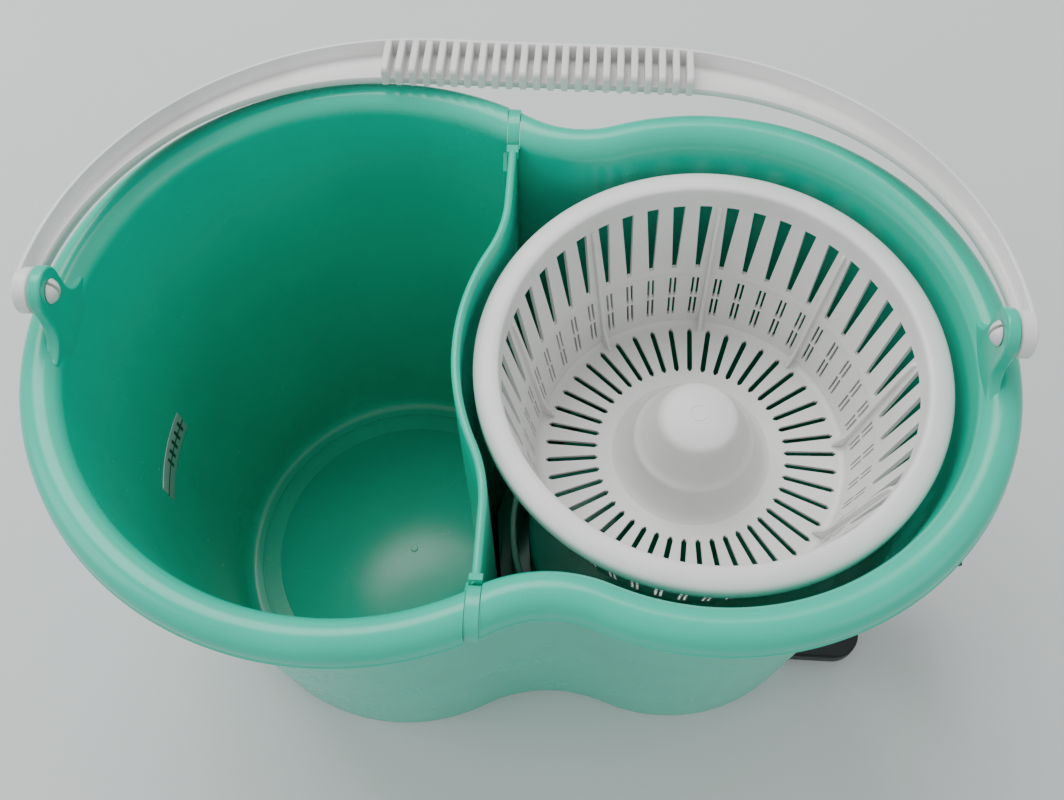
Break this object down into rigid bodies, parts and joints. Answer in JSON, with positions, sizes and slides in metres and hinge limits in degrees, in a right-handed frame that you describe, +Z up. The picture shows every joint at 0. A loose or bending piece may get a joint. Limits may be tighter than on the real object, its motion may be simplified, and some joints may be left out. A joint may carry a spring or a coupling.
{
  "type": "spin mop bucket",
  "caption": "Two-lobed mop bucket with a lift-out divider, a carrying bail and a lift-out spin basket driven by a foot pedal through gears and a one-way clutch.",
  "frame": {"origin": "centre of the bounding box on the floor", "axes": "+X from the wash chamber to the pedal, +Y to the side the bail lies back on, +Z up"},
  "size_m": [0.508, 0.3382, 0.3375],
  "materials": {
    "bucket": "satin moulded",
    "divider": "satin moulded",
    "white_plastic": "satin moulded",
    "black_plastic": "fine texture",
    "grey_plastic": "moulded",
    "gear_plastic": "natural acetal",
    "clutch_plastic": "moulded",
    "steel": "ground",
    "bronze": "sintered",
    "rubber": "matt",
    "film": "printed film"
  },
  "bodies": {
    "bucket": {"bucket_body": "bucket", "fill_level_label": "film", "upper_bush": "bronze", "lower_bush": "bronze", "driver_stud": "steel", "pedal_pin": "steel", "pedal_spring": "steel", "base_plate": "black_plastic", "gearbox_frame": "grey_plastic", "frame_screws": "steel", "base_screws": "steel", "rubber_feet": "rubber"},
    "divider": {"divider": "divider"},
    "bail": {"bail": "white_plastic"},
    "rotor": {"spindle": "steel", "spindle_head": "grey_plastic", "splash_seal": "rubber", "thrust_washer": "steel", "ratchet_hub": "clutch_plastic"},
    "basket": {"spin_basket": "white_plastic", "drive_socket": "black_plastic"},
    "pedal": {"pedal_lever": "black_plastic", "pedal_tread": "rubber"},
    "cross_train": {"cross_shaft": "steel", "cross_pinion": "gear_plastic", "crown_gear": "gear_plastic", "shaft_clips": "steel"},
    "driver": {"clutch_cup": "gear_plastic"}
  },
  "joints": [
    {"name": "bail_hinge", "type": "hinge", "parent": "bucket", "child": "bail", "pos_m": [-0.01195, -0.00702, 0.3255], "axis": [1, 0, 0], "range_deg": [0, 188]},
    {"name": "divider_lift", "type": "slide", "parent": "bucket", "child": "divider", "axis": [0, 0, 1], "range_m": [0, 0.3]},
    {"name": "basket_spin", "type": "hinge", "parent": "bucket", "child": "rotor", "pos_m": [0.08255, -0.00702, 0.15], "axis": [0, 0, 1], "continuous": true},
    {"name": "basket_lift", "type": "slide", "parent": "rotor", "child": "basket", "axis": [0, 0, 1], "range_m": [0, 0.2]},
    {"name": "pedal_press", "type": "hinge", "parent": "bucket", "child": "pedal", "pos_m": [0.139, -0.00702, 0.034], "axis": [0, 1, 0], "range_deg": [0, 24], "stiffness_Nm_per_rad": 3, "springref_deg": -11.46, "deforming": ["pedal_spring"]},
    {"name": "cross_shaft_spin", "type": "hinge", "parent": "bucket", "child": "cross_train", "pos_m": [0.08255, -0.00702, 0.0419], "axis": [0, 1, 0], "range_deg": [-129, 1]},
    {"name": "clutch_driver_spin", "type": "hinge", "parent": "bucket", "child": "driver", "pos_m": [0.08255, -0.00702, 0.0689], "axis": [0, 0, 1], "range_deg": [-1, 385]}
  ],
  "couplings": [
    {"joint": "cross_shaft_spin", "follows": "pedal_press", "ratio": -5.3333},
    {"joint": "clutch_driver_spin", "follows": "pedal_press", "ratio": 16}
  ]
}
